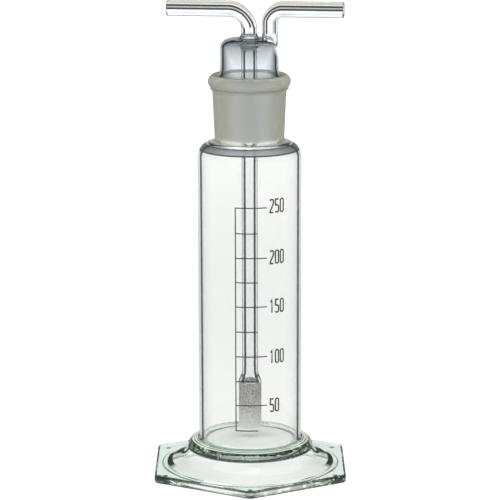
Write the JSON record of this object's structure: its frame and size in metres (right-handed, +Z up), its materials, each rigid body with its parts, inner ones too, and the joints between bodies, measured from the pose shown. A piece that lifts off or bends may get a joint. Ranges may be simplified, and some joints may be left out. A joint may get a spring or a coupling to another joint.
{
  "type": "gas washing bottle",
  "caption": "Laboratory gas washing bottle: clear glass cylinder on a hexagonal foot, with a ground stopper head, two gas arms and a dip tube that ends in a sintered filter.",
  "frame": {"origin": "on the bottle's axis at the underside of the foot", "axes": "+Z up along the bottle's axis; a corner of the hexagonal foot points to -Y and its flats face +X and -X; the outlet arm points roughly to +X"},
  "size_m": [0.098, 0.112, 0.244],
  "materials": {
    "foot_glass": "pressed, slightly green",
    "bottle_glass": "clear, with a ground socket",
    "stopper_glass": "clear dome on a ground cone",
    "tube_glass": "clear",
    "filter_glass": "sintered, grey and matt"
  },
  "bodies": {
    "bottle": {"foot": "foot_glass", "bottle": "bottle_glass"},
    "head": {"stopper": "stopper_glass", "inlet_arm": "tube_glass", "outlet_arm": "tube_glass", "dip_tube": "tube_glass", "filter": "filter_glass"}
  },
  "joints": [
    {"name": "head_lift", "type": "slide", "parent": "bottle", "child": "head", "axis": [0, 0, 1], "range_m": [0, 0.2]}
  ]
}
